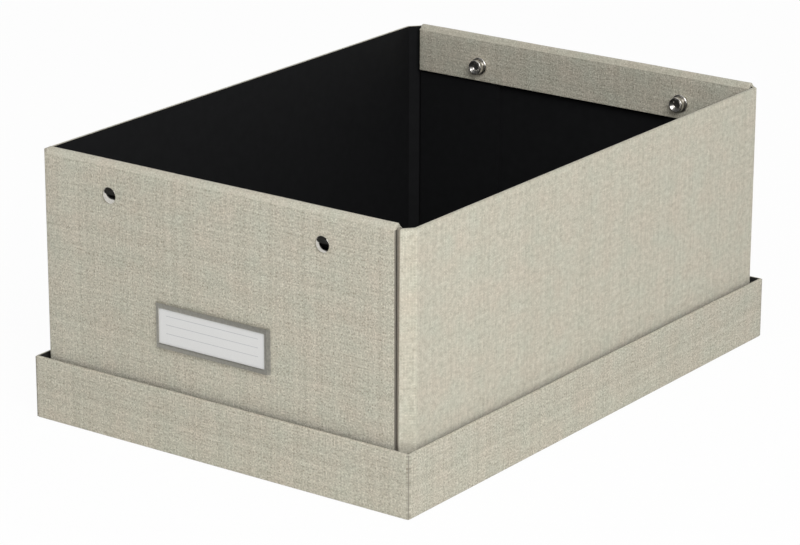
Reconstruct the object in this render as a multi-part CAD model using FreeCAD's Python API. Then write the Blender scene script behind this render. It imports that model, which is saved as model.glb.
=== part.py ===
import FreeCAD, Part
import math
import os
from FreeCAD import Vector

# Linen covered storage box, standing in its own lid, which is turned upside down as a tray.
# Millimetres. The origin is the centre of the lid's flat top where it lies on the table,
# +X is to the right along the front, +Y runs to the rear, +Z is up.

# Sheet thicknesses
linen = 0.5                # woven cover outside
lining = 0.3               # black paper inside
wall_board = 1.8           # grey board of the box
lid_board = 1.7            # grey board of the lid
holder_sheet = 0.5         # metal of the label holder
card_sheet = 0.4           # white card

# Box
box_width = 300.5          # over the long sides
box_length = 421.9         # over the two ends
box_height = 184.3         # underside to the top of the long sides
seat_gap = 0.1             # box underside to the lid it stands in
base_gap = 0.2             # base board to the walls round it
base_clip = 3.2            # corners cut off the base board
foot_gap = 0.3             # corner folds end this far above the base

# Lid
lid_side_gap = 2.0         # box to the lid's rim at the long sides
lid_end_gap = 2.9          # and at the ends
lid_height = 43.8
lid_turn_in = 14.0         # linen turned over the rim and glued down inside
lid_under_lap = 12.0       # linen of the rim turned under the lid's flat top
lid_edge_wear = 0.9        # chamfer of the lid's worn outer edges

# Corner folds of the long sides. Seen from outside an end, the right corner has the wide
# facet and the left corner the narrow one.
wide_facet_run = 7.6       # along the end
wide_facet_depth = 8.6     # along the side
wide_facet_back = 0.4      # behind the face of the end
joggle_run = 3.3           # step from the facet to the flap behind the end
narrow_facet_run = 4.0
narrow_facet_depth = 2.6
flap_past_stud = 15.0      # corner flap beyond its press stud

# Ends
wide_groove = 3.5          # end panel to the wide facet
narrow_groove = 0.9        # end panel to the narrow facet
crease_drop = 1.3          # top of the long sides down to the two creases of an end
ridge_rise = 4.0           # creases to the ridge of the rolled cap
shoulder_rise = 3.3        # creases to the cap's outer shoulder
shoulder_run = 2.6         # outer crease to the shoulder
ridge_run = 5.6            # outer crease to the ridge
flap_gap = 0.8             # corner flap to inner flap
flap_drop = 31.2           # inner crease to the lower edge of the inner flap
flap_turn_in = 12.0        # linen turned in behind the inner flap

# Press fasteners, two on each end
stud_pitch = 174.0
stud_drop = 19.2           # creases down to the fastener axis
panel_hole = 10.1          # diameter of the plain hole in the outer panel
rivet_head = 9.4
rivet_head_height = 1.3
rivet_crown = 5.6          # diameter where the dome of the head gets flatter
rivet_crown_height = 0.3   # height of the dome within that
shank = 5.0
shank_gap = 0.1            # radial, shank in its hole
stud_bulb = 6.0
stud_height = 2.2
bulb_height = 1.4
socket_bore = 8.0
socket_barrel = 9.8
socket_hole_gap = 0.1      # radial, barrel in the flap's hole
socket_lip = 11.6
socket_lip_height = 0.4
socket_ring = 13.2
socket_ring_height = 2.0
eyelet_gap = 0.05          # radial, eyelet in the socket
eyelet_neck_height = 1.2   # eyelet's stem between the socket's ring and its head
eyelet_head = 10.8
eyelet_head_height = 3.8
eyelet_rim = 9.6           # diameter of the head's flat crest
eyelet_dish = 5.0          # diameter of the floor of the dish
eyelet_dish_depth = 1.8
eyelet_tail = 0.6          # eyelet behind the face of the inner flap

# Label holder and card on the front
label_shift = 1.9          # holder towards the left of the front panel
label_height = 83.8        # box underside to the middle of the holder
holder_width = 94.6
holder_height = 30.6
holder_proud = 2.0
holder_bevel = 1.9
frame_side = 1.7           # flat of the holder beside its window
frame_strip = 3.2          # and above and below it
window_side_shift = -0.2
window_drop = 0.2
prong_height = 3.0
prong_spacing = 19.0
prong_gap = 0.1
card_margin = 1.6          # card beyond the window at each side
card_gap = 0.3             # card to the back of the holder's face
card_seat_gap = 0.1
card_short = 1.0           # card below the top of the holder

overrun = 1.0              # cutters run past the faces that they cut

# Levels and thicknesses that follow
lid_floor = linen + lid_board + lining
wall = linen + wall_board + lining
box_floor = lid_floor + seat_gap
base_board_floor = box_floor + linen
base_top = base_board_floor + wall_board + lining
corner_floor = base_top + foot_gap
side_top = box_floor + box_height
crease_z = side_top - crease_drop
corner_flap_top = crease_z - foot_gap
stud_z = crease_z - stud_drop
front = -box_length / 2
side = box_width / 2
board_near = linen
board_far = linen + wall_board
cap_depth = 3 * wall + flap_gap
flap_back = cap_depth - wall
end_left = narrow_facet_run + narrow_groove - side
end_right = side - wide_facet_run - wide_groove
end_middle = (end_left + end_right) / 2
stud_places = [end_middle - stud_pitch / 2, end_middle + stud_pitch / 2]
turned_stud_places = [-place for place in stud_places]
lid_wall = linen + lid_board + linen
cover_clip = max(wide_facet_run, wide_facet_depth + wide_facet_back)
lid_half_width = side + lid_side_gap + lid_wall
lid_half_length = box_length / 2 + lid_end_gap + lid_wall


def block(low, high):
    size = [top - bottom for bottom, top in zip(low, high)]
    return Part.makeBox(size[0], size[1], size[2], Vector(*low))


def upright(outline, bottom, top):
    """A prism that stands on a flat outline of (x, y) points."""
    corners = [Vector(x, y, bottom) for x, y in outline]
    face = Part.Face(Part.makePolygon(corners + corners[:1]))
    return face.extrude(Vector(0, 0, top - bottom))


def lengthwise(outline, left, right):
    """A prism along X with a section of (depth, z) points, depth being behind the front."""
    corners = [Vector(left, front + depth, z) for depth, z in outline]
    face = Part.Face(Part.makePolygon(corners + corners[:1]))
    return face.extrude(Vector(right - left, 0, 0))


def offset_line(points, distance):
    """The open line moved to its left by a distance, with mitred corners."""
    moved = []
    for index, (x, y) in enumerate(points):
        sides = []
        for a, b in zip(points[max(index - 1, 0):], points[max(index - 1, 0) + 1:index + 2]):
            length = math.hypot(b[0] - a[0], b[1] - a[1])
            sides.append(((a[1] - b[1]) / length, (b[0] - a[0]) / length))
        first, last = sides[0], sides[-1]
        reach = distance / (1 + first[0] * last[0] + first[1] * last[1])
        moved.append((x + (first[0] + last[0]) * reach, y + (first[1] + last[1]) * reach))
    return moved


def layer(points, near, far, bottom, top):
    """A sheet that follows a line, from one distance behind it to another."""
    outline = offset_line(points, near) + offset_line(points, far)[::-1]
    return upright(outline, bottom, top)


def lathe(profile, place):
    """A turned part on a fastener's axis from (radius, depth behind the front) points."""
    corners = [Vector(place + radius, front + depth, stud_z) for radius, depth in profile]
    face = Part.Face(Part.makePolygon(corners + corners[:1]))
    axis_point = Vector(place, front, stud_z)
    return face.revolve(axis_point, Vector(0, 1, 0), 360)


def bore(place, diameter, near, far):
    """A round cutter on a fastener's axis between two depths behind the front."""
    start = Vector(place, front + near, stud_z)
    return Part.makeCylinder(diameter / 2, far - near, start, Vector(0, 1, 0))


def half_turn(shape):
    """The same piece on the opposite side of the box."""
    copy = shape.copy()
    copy.rotate(Vector(0, 0, 0), Vector(0, 0, 1), 180)
    return copy


# Lid
def worn_block(half_x, half_y, height):
    """The lid's outer shape, its vertical corners and its lower and upper edges chamfered."""
    solid = block((-half_x, -half_y, 0), (half_x, half_y, height))
    return solid.makeChamfer(lid_edge_wear, solid.Edges)


def lid_rim_linen():
    """The outer wrap of the rim, over its edge and a little way down inside."""
    board_x = lid_half_width - linen
    board_y = lid_half_length - linen
    inner_x = board_x - lid_board
    inner_y = board_y - lid_board
    edge_z = lid_height - linen
    turn_z = lid_height - lid_turn_in
    under_x = lid_half_width - lid_under_lap
    under_y = lid_half_length - lid_under_lap
    wrap = worn_block(lid_half_width, lid_half_length, lid_height)
    wrap = wrap.cut(block((-board_x, -board_y, linen), (board_x, board_y, edge_z)))
    wrap = wrap.cut(block((-under_x, -under_y, -overrun), (under_x, under_y, linen + overrun)))
    hem = block((-inner_x, -inner_y, turn_z), (inner_x, inner_y, edge_z))
    mouth_x = inner_x - linen
    mouth_y = inner_y - linen
    mouth = block((-mouth_x, -mouth_y, -overrun), (mouth_x, mouth_y, lid_height + overrun))
    return wrap.fuse(hem).cut(mouth).removeSplitter()


def lid_lining():
    half_x = lid_half_width - linen - lid_board
    half_y = lid_half_length - linen - lid_board
    bottom = linen + lid_board
    top = lid_height - lid_turn_in
    tray = block((-half_x, -half_y, bottom), (half_x, half_y, top))
    inner_x = half_x - lining
    inner_y = half_y - lining
    return tray.cut(block((-inner_x, -inner_y, lid_floor), (inner_x, inner_y, top + overrun)))


def lid_pieces():
    half_x = lid_half_width - linen
    half_y = lid_half_length - linen
    inner_x = half_x - lid_board
    inner_y = half_y - lid_board
    floor = linen + lid_board
    edge = lid_height - linen
    under_x = lid_half_width - lid_under_lap
    under_y = lid_half_length - lid_under_lap
    front_rim = block((-inner_x, -half_y, floor), (inner_x, -inner_y, edge))
    right_rim = block((inner_x, -half_y, floor), (half_x, half_y, edge))
    return {
        "lid_top_linen": block((-under_x, -under_y, 0), (under_x, under_y, linen)),
        "lid_top_board": block((-half_x, -half_y, linen), (half_x, half_y, floor)),
        "lid_front_rim_board": front_rim,
        "lid_rear_rim_board": half_turn(front_rim),
        "lid_right_rim_board": right_rim,
        "lid_left_rim_board": half_turn(right_rim),
        "lid_rim_linen": lid_rim_linen(),
        "lid_black_lining": lid_lining(),
    }


# Base
def clipped_plate(half_x, half_y, clip, bottom, top):
    """A rectangle with its four corners cut off."""
    outline = [
        (half_x - clip, -half_y), (half_x, -half_y + clip),
        (half_x, half_y - clip), (half_x - clip, half_y),
        (-half_x + clip, half_y), (-half_x, half_y - clip),
        (-half_x, -half_y + clip), (-half_x + clip, -half_y),
    ]
    return upright(outline, bottom, top)


def base_pieces():
    half_x = side - wall - base_gap
    half_y = box_length / 2 - wall - base_gap
    board_top = base_board_floor + wall_board
    under_x = side - linen
    under_y = box_length / 2 - linen
    return {
        "base_board": clipped_plate(half_x, half_y, base_clip, base_board_floor, board_top),
        "base_lining": clipped_plate(half_x, half_y, base_clip, board_top, base_top),
        "base_cover": clipped_plate(under_x, under_y, cover_clip, box_floor, base_board_floor),
    }


# Long sides with their corner folds
def side_line():
    """The outer face of the right side, from its front flap round to its rear flap."""
    flap_y = front + wall
    rear_y = -flap_y
    front_end = stud_places[1] - flap_past_stud
    rear_end = turned_stud_places[0] - flap_past_stud
    facet_x = side - wide_facet_run
    facet_y = front + wide_facet_back
    return [
        (front_end, flap_y),
        (facet_x - joggle_run, flap_y),
        (facet_x, facet_y),
        (side, facet_y + wide_facet_depth),
        (side, rear_y - narrow_facet_depth),
        (side - narrow_facet_run, rear_y),
        (rear_end, rear_y),
    ]


def drilled(sheet):
    """The shank holes of the two press studs that a side's corner flaps carry."""
    hole = shank + 2 * shank_gap
    cutters = [
        bore(stud_places[1], hole, 0, cap_depth),
        half_turn(bore(stud_places[0], hole, 0, cap_depth)),
    ]
    for cutter in cutters:
        sheet = sheet.cut(cutter)
    return sheet


def side_pieces():
    line = side_line()
    near = offset_line(line, board_near)
    far = offset_line(line, board_far)
    back = offset_line(line, wall)
    for row in (near, far):
        for end in (0, -1):
            row[end] = (row[end][0] + lining, row[end][1])
    board_top = side_top - linen

    def strip(outer, inner, first, last, bottom, top):
        """A sheet between two offset lines and two creases, with mitred edges."""
        return upright(outer[first:last + 1] + inner[first:last + 1][::-1], bottom, top)

    cover = strip(line, near, 1, 5, box_floor, board_top)
    front_fold = line[3][1]
    rear_fold = line[4][1]
    for low_y, high_y in ((front, front_fold), (rear_fold, -front)):
        cover = cover.cut(block((0, low_y, 0), (box_width, high_y, corner_floor)))
    cover = cover.fuse(strip(line, far, 1, 5, board_top, side_top)).removeSplitter()
    front_flap = strip(near, far, 0, 1, corner_floor, corner_flap_top)
    rear_flap = strip(near, far, 5, 6, corner_floor, corner_flap_top)
    inside = strip(far, back, 1, 5, corner_floor, side_top)
    for first, flap in ((0, front_flap), (5, rear_flap)):
        facing = strip(line, back, first, first + 1, corner_floor, corner_flap_top)
        inside = inside.fuse(facing.cut(flap))
    return {
        "right_side_board": strip(near, far, 3, 4, base_board_floor, board_top),
        "front_right_corner_strip": strip(near, far, 1, 3, corner_floor, board_top),
        "front_right_corner_flap": drilled(front_flap),
        "rear_right_corner_strip": strip(near, far, 4, 5, corner_floor, board_top),
        "rear_right_corner_flap": drilled(rear_flap),
        "right_side_linen": cover,
        "right_side_lining": drilled(inside.removeSplitter()),
    }


# Ends
def end_pieces():
    """The outer panel of the front end, cut through its three sheets at its upright edges."""
    sheets = {
        "front_end_linen": (0, board_near, base_board_floor),
        "front_end_board": (board_near, board_far, base_board_floor),
        "front_end_lining": (board_far, wall, base_top),
    }
    pieces = {}
    for name, (near, far, bottom) in sheets.items():
        pieces[name] = block((end_left, front + near, bottom), (end_right, front + far, crease_z))
    for name in pieces:
        for place in stud_places:
            cutter = bore(place, panel_hole, -overrun, wall + overrun)
            pieces[name] = pieces[name].cut(cutter)
    return pieces


def cap_line():
    """The rolled top of the end, from its outer crease over the ridge to its inner crease."""
    return [
        (0, crease_z),
        (shoulder_run, crease_z + shoulder_rise),
        (ridge_run, crease_z + ridge_rise),
        (cap_depth, crease_z),
    ]


def cap_pieces():
    line = cap_line()
    under = offset_line(line, -linen)
    hollow = lengthwise(under, end_left + linen, end_right - linen)
    strip_floor = crease_z + ridge_rise - linen - wall_board
    above = block(
        (end_left, front, strip_floor),
        (end_right, front + cap_depth, crease_z + ridge_rise),
    )
    return {
        "front_cap_board": hollow.common(above),
        "front_cap_linen": lengthwise(line, end_left, end_right).cut(hollow),
    }


def flap_pieces():
    bottom = crease_z - flap_drop
    back = front + flap_back
    envelope = block((end_left, back, bottom), (end_right, front + cap_depth, crease_z))
    board = block(
        (end_left + linen, back + lining, bottom + linen),
        (end_right - linen, front + cap_depth - linen, crease_z),
    )
    window = block(
        (end_left + flap_turn_in, back - overrun, bottom + flap_turn_in),
        (end_right - flap_turn_in, back + lining, crease_z + overrun),
    )
    cover = envelope.cut(board).cut(window)
    for place in stud_places:
        hole = bore(place, socket_barrel + 2 * socket_hole_gap, 0, cap_depth + overrun)
        board = board.cut(hole)
        cover = cover.cut(hole)
    return {"front_flap_board": board, "front_flap_linen": cover}


# Press fasteners
def press_stud(place):
    """A domed rivet through the corner flap, its inner end spread into the stud's bulb."""
    outer = wall - rivet_head_height
    tip = 2 * wall + stud_height
    profile = [
        (0, outer),
        (rivet_crown / 2, outer + rivet_crown_height),
        (rivet_head / 2, wall),
        (shank / 2, wall),
        (shank / 2, tip - bulb_height),
        (stud_bulb / 2, tip),
        (0, tip),
    ]
    return lathe(profile, place)


def snap_socket(place):
    """A barrel through the inner flap with a lip behind it and a ring on its face."""
    face = cap_depth
    lip = flap_back - socket_lip_height
    ring_top = face + socket_ring_height
    profile = [
        (socket_bore / 2, lip),
        (socket_lip / 2, lip),
        (socket_lip / 2, flap_back),
        (socket_barrel / 2, flap_back),
        (socket_barrel / 2, face),
        (socket_ring / 2, face),
        (socket_ring / 2, ring_top),
        (socket_bore / 2, ring_top),
    ]
    return lathe(profile, place)


def snap_eyelet(place):
    """The dished eyelet pressed into the socket, which keeps it on the flap."""
    tail = cap_depth - eyelet_tail
    head = cap_depth + socket_ring_height + eyelet_neck_height
    top = head + eyelet_head_height
    stem = socket_bore / 2 - eyelet_gap
    profile = [
        (0, tail),
        (stem, tail),
        (stem, head),
        (eyelet_head / 2, head),
        (eyelet_rim / 2, top),
        (eyelet_dish / 2, top - eyelet_dish_depth),
        (0, top - eyelet_dish_depth),
    ]
    return lathe(profile, place)


def fastener_pieces():
    return {
        "front_press_studs": Part.makeCompound([press_stud(place) for place in stud_places]),
        "front_snap_sockets": Part.makeCompound([snap_socket(place) for place in stud_places]),
        "front_snap_eyelets": Part.makeCompound([snap_eyelet(place) for place in stud_places]),
    }


# Label holder
label_x = end_middle - label_shift
label_z = box_floor + label_height
window_width = holder_width - 2 * (holder_bevel + frame_side)
window_height = holder_height - 2 * frame_strip
holder_bottom = label_z - holder_height / 2
holder_top = label_z + holder_height / 2


def prongs(grown, far):
    """The four bent ends of the holder, or the slots for them when grown by a gap."""
    blocks = []
    half = holder_width / 2
    for middle in (label_z - prong_spacing / 2, label_z + prong_spacing / 2):
        for left in (label_x - half, label_x + half - holder_sheet):
            blocks.append(block(
                (left - grown, front - grown, middle - prong_height / 2 - grown),
                (left + holder_sheet + grown, front + far, middle + prong_height / 2 + grown),
            ))
    return blocks


def label_holder():
    """A shallow channel of sheet with a window, a lower lip and four prongs."""
    half = holder_width / 2
    plan = [
        (label_x - half, front),
        (label_x - half + holder_bevel, front - holder_proud),
        (label_x + half - holder_bevel, front - holder_proud),
        (label_x + half, front),
    ]
    plate = layer(plan, 0, holder_sheet, holder_bottom, holder_top)
    plate = plate.common(block(
        (label_x - half, front - holder_proud, holder_bottom),
        (label_x + half, front, holder_top),
    ))
    lip = block(
        (label_x - half + holder_bevel, front - holder_proud, holder_bottom),
        (label_x + half - holder_bevel, front, holder_bottom + holder_sheet),
    )
    window_x = label_x + window_side_shift
    window_z = label_z - window_drop
    window = block(
        (window_x - window_width / 2, front - holder_proud - overrun, window_z - window_height / 2),
        (window_x + window_width / 2, front, window_z + window_height / 2),
    )
    holder = plate.cut(window).fuse([lip] + prongs(0, board_far))
    return holder.removeSplitter()


def label_card():
    half = (window_width + 2 * card_margin) / 2
    face = front - holder_proud + holder_sheet + card_gap
    bottom = holder_bottom + holder_sheet + card_seat_gap
    return block(
        (label_x - half, face, bottom),
        (label_x + half, face + card_sheet, holder_top - card_short),
    )


def label_pieces():
    return {"label_holder": label_holder(), "label_card": label_card()}


def with_opposites(pieces, names):
    """Adds each piece again on the opposite side, under the opposite name."""
    both = dict(pieces)
    for name, shape in pieces.items():
        other = "_".join(names.get(word, word) for word in name.split("_"))
        both[other] = half_turn(shape)
    return both


def build():
    swap = {"front": "rear", "rear": "front", "right": "left", "left": "right"}
    ends = {**end_pieces(), **cap_pieces(), **flap_pieces(), **fastener_pieces()}
    pieces = {**lid_pieces(), **base_pieces()}
    pieces.update(with_opposites(side_pieces(), swap))
    pieces.update(with_opposites(ends, swap))
    pieces.update(label_pieces())
    for name in ("front_end_board", "front_end_linen"):
        for slot in prongs(prong_gap, board_far + prong_gap):
            pieces[name] = pieces[name].cut(slot)
    return pieces


os.makedirs("parts", exist_ok=True)
for node, solid in build().items():
    solid.exportStep("parts/" + node + ".step")
    print(node, len(solid.Solids), solid.isValid(), round(solid.Volume, 1))
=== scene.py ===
import math
import bmesh
import bpy
import numpy as np
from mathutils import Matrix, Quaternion, Vector


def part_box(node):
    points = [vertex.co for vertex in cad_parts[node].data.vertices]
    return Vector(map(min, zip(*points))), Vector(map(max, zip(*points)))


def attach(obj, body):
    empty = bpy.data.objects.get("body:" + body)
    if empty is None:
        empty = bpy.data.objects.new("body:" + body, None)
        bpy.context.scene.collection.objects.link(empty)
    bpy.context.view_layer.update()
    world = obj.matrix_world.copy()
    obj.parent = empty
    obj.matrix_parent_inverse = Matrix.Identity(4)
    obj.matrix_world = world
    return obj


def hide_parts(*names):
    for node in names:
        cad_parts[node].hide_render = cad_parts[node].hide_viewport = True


# Linen covered storage box standing in its upturned lid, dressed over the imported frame.
# Lengths in the dictionaries are millimetres, the meshes are metres.

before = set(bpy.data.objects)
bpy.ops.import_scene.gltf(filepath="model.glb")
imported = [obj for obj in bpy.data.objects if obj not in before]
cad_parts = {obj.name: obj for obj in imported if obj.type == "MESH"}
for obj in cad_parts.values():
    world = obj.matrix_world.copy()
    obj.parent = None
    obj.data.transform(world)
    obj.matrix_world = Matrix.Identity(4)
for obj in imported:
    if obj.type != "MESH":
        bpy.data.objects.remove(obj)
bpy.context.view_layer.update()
print("frame loaded:", len(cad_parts), "nodes")
metre = 0.001  # one millimetre of the dictionaries in the metres of the meshes

# Where the cloth starts in its own UV map: v at the foot, u from one long side to the other
clothStart = dict(rimFoot=40.0, sideFoot=90.0, sideStep=500.0)
# Weave: lengths in millimetres, scales per millimetre, tones from 0 (dark) to 1 (pale)
cloth = dict(thickness=0.5, pitchAcross=1.0, pitchUp=0.92, slubLength=3.3, slubStep=0.83, wander=4.4,
             wanderScale=0.035, overlap=2.5, roundThread=0.7, crownShade=0.24, valleyShade=0.80,
             threadSeeds=(3.1, 8.7), meanTone=0.57, toneStops=(0.16, 0.55, 0.95),
             darkThread=(0.315, 0.292, 0.228), midThread=(0.545, 0.515, 0.425),
             paleThread=(0.77, 0.735, 0.63), tintScale=0.045, coolTint=(0.965, 1.0, 0.985),
             warmTint=(1.02, 0.985, 0.965), fleckHeight=3.0, bumpStrength=0.7, bumpDepth=0.2, rough=0.98,
             crownGloss=0.1, specular=0.18, sheen=0.12, sheenRough=0.55)
# Weights of each thread's own tone (upright, level), of its slubs and of the flecks across them, and a lift
# of the whole tone that is painted light: the cap's lighter copy stands in for light on its upturned slope
coarseCloth = dict(ownUpright=0.22, ownLevel=0.22, slub=0.95, fleck=1.5, fleckScale=0.75, height=1.0,
                   paintedLift=0.0)
capClothPaintedLight = dict(ownUpright=0.17, ownLevel=0.17, slub=0.7, fleck=1.0, fleckScale=0.75, height=0.8,
                paintedLift=0.055)
calmCloth = dict(ownUpright=0.19, ownLevel=0.1, slub=0.6, fleck=0.74, fleckScale=0.3, height=0.6,
                 paintedLift=0.0)
# Dark lines in the cloth: half width, its widening per millimetre upwards and its unevenness; the seam line
# is the dark joint down each lid corner, the groove line is painted shade down the groove between the end
# panel and the side's facet
seamLine = dict(width=0.15, widening=0.0, broken=0.45, blur=(-0.2, 0.25), darkness=0.4, dashScale=0.45,
                colour=(0.09, 0.08, 0.065))
paintedGrooveShade = dict(width=1.5, widening=0.0065, broken=0.35, blur=(-0.2, 0.25), darkness=0.66,
                  dashScale=0.3, colour=(0.15, 0.118, 0.09))
# The black paper reaches this far over the rim's edge, in a colour of its own where light grazes it: the
# lid's inside is black lined, while the black over the cloth's inner hem and the rim's edge is painted shade
# of the gap between rim and box, and the hem's lighter black is painted light where light grazes it
lining = dict(shadeOverEdge=0.9, blur=0.12, hem=(0.012, 0.0115, 0.0105))
# Slow swell of hand glued cloth: lengths of its waves along and across, and the later ones' shares
waves = dict(broad=(23.0, 31.0), short=(9.1, 13.7), slanted=(47.0, 39.0), shortShare=0.6,
             slantedShare=0.4)


# Mesh helpers
quarterTurn = math.pi / 2
cornerSigns = ((1, -1), (1, 1), (-1, 1), (-1, -1))  # corners in the order of turning left
tiny = 1e-6
# Distances within which points are merged and slivers dissolved, angle from which an edge is sharp
joining = dict(merge=0.002, sliver=0.0005, sharpDegrees=35.0)


def cadBox(node):
    low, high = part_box(node)
    return np.array(low) / metre, np.array(high) / metre


def pointsOf(x, y, z):
    return np.stack(np.broadcast_arrays(x, y, z), -1)


def gridFaces(rows, columns, closeRows=False, closeColumns=False):
    # quads between neighbouring rows and columns of a grid; a closed direction wraps round
    i = np.arange(rows if closeRows else rows - 1)
    j = np.arange(columns if closeColumns else columns - 1)
    i, j = np.meshgrid(i, j, indexing="ij")
    i = np.stack([i, i, i + 1, i + 1], -1).reshape(-1, 4)
    j = np.stack([j, j + 1, j + 1, j], -1).reshape(-1, 4)
    return (i % rows) * columns + j % columns, i, j


def gridPart(points, along, across, closeRows=False, closeColumns=False, skip=None):
    # one grid of points with its cloth coordinates: along runs with the columns, across with the rows
    rows, columns = points.shape[:2]
    faces, i, j = gridFaces(rows, columns, closeRows, closeColumns)
    along, across = np.asarray(along, float), np.asarray(across, float)
    if along.ndim == 1:
        coordinates = np.stack([along[j], across[i]], -1)
    else:
        coordinates = np.stack([along[i % rows, j % columns], across[i % rows, j % columns]], -1)
    if skip is not None:
        keep = ~skip[i[:, 0], j[:, 0]]
        faces, coordinates = faces[keep], coordinates[keep]
    return points.reshape(-1, 3), faces, coordinates


def tidyMesh(mesh):
    work = bmesh.new()
    work.from_mesh(mesh)
    bmesh.ops.remove_doubles(work, verts=work.verts, dist=joining["merge"] * metre)
    bmesh.ops.dissolve_degenerate(work, edges=work.edges, dist=joining["sliver"] * metre)
    bmesh.ops.recalc_face_normals(work, faces=work.faces)
    work.to_mesh(mesh)
    work.free()
    mesh.update()


def makePiece(name, parts, body, material, nodes, turned=False):
    # joins grids into one mesh, merges their shared borders and turns closed shells outwards
    count, allPoints, allFaces, allCoordinates = 0, [], [], []
    for points, faces, coordinates in parts:
        allPoints.append(points)
        allFaces += (faces + count).tolist()
        allCoordinates.append(coordinates.reshape(-1, 2))
        count += len(points)
    points = np.concatenate(allPoints) * metre
    if turned:
        points = points * np.array([-1, -1, 1])
    mesh = bpy.data.meshes.new(name)
    mesh.from_pydata(points.tolist(), [], allFaces)
    layer = mesh.uv_layers.new(name="cloth")
    layer.data.foreach_set("uv", np.concatenate(allCoordinates).ravel())
    tidyMesh(mesh)
    mesh.polygons.foreach_set("use_smooth", np.ones(len(mesh.polygons), bool))
    mesh.set_sharp_from_angle(angle=math.radians(joining["sharpDegrees"]))
    mesh.materials.append(material)
    piece = bpy.data.objects.new(name, mesh)
    bpy.context.scene.collection.objects.link(piece)
    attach(piece, body)
    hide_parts(*nodes)


def roundedLine(corners, radii, arcSteps, runSteps):
    # straight runs joined by arcs; an arc leaves its run radius x tan(half the turn) before the corner
    corners = np.asarray(corners, float)
    last = corners[0]
    pieces = []
    for k in range(1, len(corners)):
        steps = runSteps[k - 1]
        share = np.linspace(0, 1, steps + 1)[:, None]
        if k == len(corners) - 1:
            pieces.append(last + (corners[k] - last) * share)
            break
        before, after = corners[k] - corners[k - 1], corners[k + 1] - corners[k]
        before, after = before / np.linalg.norm(before), after / np.linalg.norm(after)
        turn = math.atan2(before[0] * after[1] - before[1] * after[0], before @ after)
        reach = radii[k] * math.tan(abs(turn) / 2)
        start = corners[k] - before * reach
        inward = np.array([-before[1], before[0]]) * math.copysign(1, turn)
        centre = start + inward * radii[k]
        angles = turn * np.linspace(0, 1, arcSteps + 1)[:, None]
        spoke = start - centre
        turnedSpoke = np.concatenate([spoke[0] * np.cos(angles) - spoke[1] * np.sin(angles),
                                      spoke[0] * np.sin(angles) + spoke[1] * np.cos(angles)], 1)
        pieces.append((last + (start - last) * share)[:-1])
        pieces.append((centre + turnedSpoke)[:-1])
        last = centre + turnedSpoke[-1]
    return np.concatenate(pieces)


def offsetCorners(corners, distance):
    # each corner moves along the bisector of its two runs, so that both move left by the distance
    corners = np.asarray(corners, float)
    runs = np.diff(corners, axis=0)
    runs /= np.linalg.norm(runs, axis=1, keepdims=True)
    left = np.stack([-runs[:, 1], runs[:, 0]], 1)
    first, second = np.vstack([left[:1], left]), np.vstack([left, left[-1:]])
    reach = distance / (1 + (first * second).sum(1, keepdims=True))
    return corners + (first + second) * reach


def runLength(points):
    return np.concatenate([[0], np.cumsum(np.linalg.norm(np.diff(points, axis=0), axis=1))])


def unevenness(u, v, seed, size):
    # a few long sine waves across each other, between 0 and the size
    (broadU, broadV), (shortU, shortV) = waves["broad"], waves["short"]
    slantedU, slantedV = waves["slanted"]
    wave = (np.sin(u / broadU + seed) * np.sin(v / broadV + 2 * seed)
            + waves["shortShare"] * np.sin(u / shortU + 3 * seed) * np.sin(v / shortV + seed)
            + waves["slantedShare"] * np.sin(u / slantedU - v / slantedV + seed))
    highest = 1 + waves["shortShare"] + waves["slantedShare"]
    return size * (wave / highest + 1) / 2


def endFace(outline, axes=(1, 2)):
    # one flat face over a closed outline, with two of its axes as cloth coordinates
    return outline, np.arange(len(outline))[None, :], outline[None][..., list(axes)]


# Material helpers
def startMaterial(name):
    material = bpy.data.materials.new(name)
    material.use_nodes = True
    material.node_tree.nodes.clear()
    return material, material.node_tree


def put(tree, kind, values=None, **settings):
    node = tree.nodes.new("ShaderNode" + kind)
    for key, value in settings.items():
        setattr(node, key, value)
    for key, value in (values or {}).items():
        if isinstance(value, bpy.types.NodeSocket):
            tree.links.new(value, node.inputs[key])
        else:
            node.inputs[key].default_value = value
    return node


def calc(tree, operation, *values, clamp=False):
    return put(tree, "Math", dict(enumerate(values)), operation=operation, use_clamp=clamp).outputs[0]


def noise(tree, vector, scale, detail, roughness):
    return put(tree, "TexNoise", {"Vector": vector, "Scale": scale, "Detail": detail,
                                  "Roughness": roughness}).outputs["Fac"]


def vectorOf(tree, x, y, z=0.0):
    return put(tree, "CombineXYZ", {0: x, 1: y, 2: z}).outputs[0]


def mixColour(tree, share, first, second, blend="MIX"):
    return put(tree, "Mix", {0: share, 6: first, 7: second}, data_type="RGBA", blend_type=blend).outputs[2]


def mixValue(tree, share, first, second):
    return put(tree, "Mix", {0: share, 2: first, 3: second}).outputs[0]


def ramp(tree, value, stops):
    node = put(tree, "ValToRGB", {0: value})
    elements = node.color_ramp.elements
    while len(elements) < len(stops):
        elements.new(0.5)
    for element, (place, colour) in zip(elements, stops):
        element.position = place
        element.color = (*colour, 1.0)
    return node.outputs[0]


def noiseRamp(tree, value, first, second):
    # a noise stays mostly between these two stops
    return ramp(tree, value, [(0.3, first), (0.7, second)])


def parted(tree, vector):
    return put(tree, "SeparateXYZ", {0: vector}).outputs


def fade(tree, value, low, high, start=0.0, end=1.0):
    # goes from start to end while the value goes from low to high
    return put(tree, "MapRange", {0: value, 1: low, 2: high, 3: start, 4: end}).outputs[0]


def shaded(tree, colour, share):
    return mixColour(tree, 1.0, colour, vectorOf(tree, share, share, share), "MULTIPLY")


def alongAxis(tree, vector, axis):
    return put(tree, "VectorMath", {0: vector, 1: axis}, operation="DOT_PRODUCT").outputs["Value"]


def stretched(tree, vector, factors):
    return put(tree, "VectorMath", {0: vector, 1: factors}, operation="MULTIPLY").outputs[0]


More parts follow.
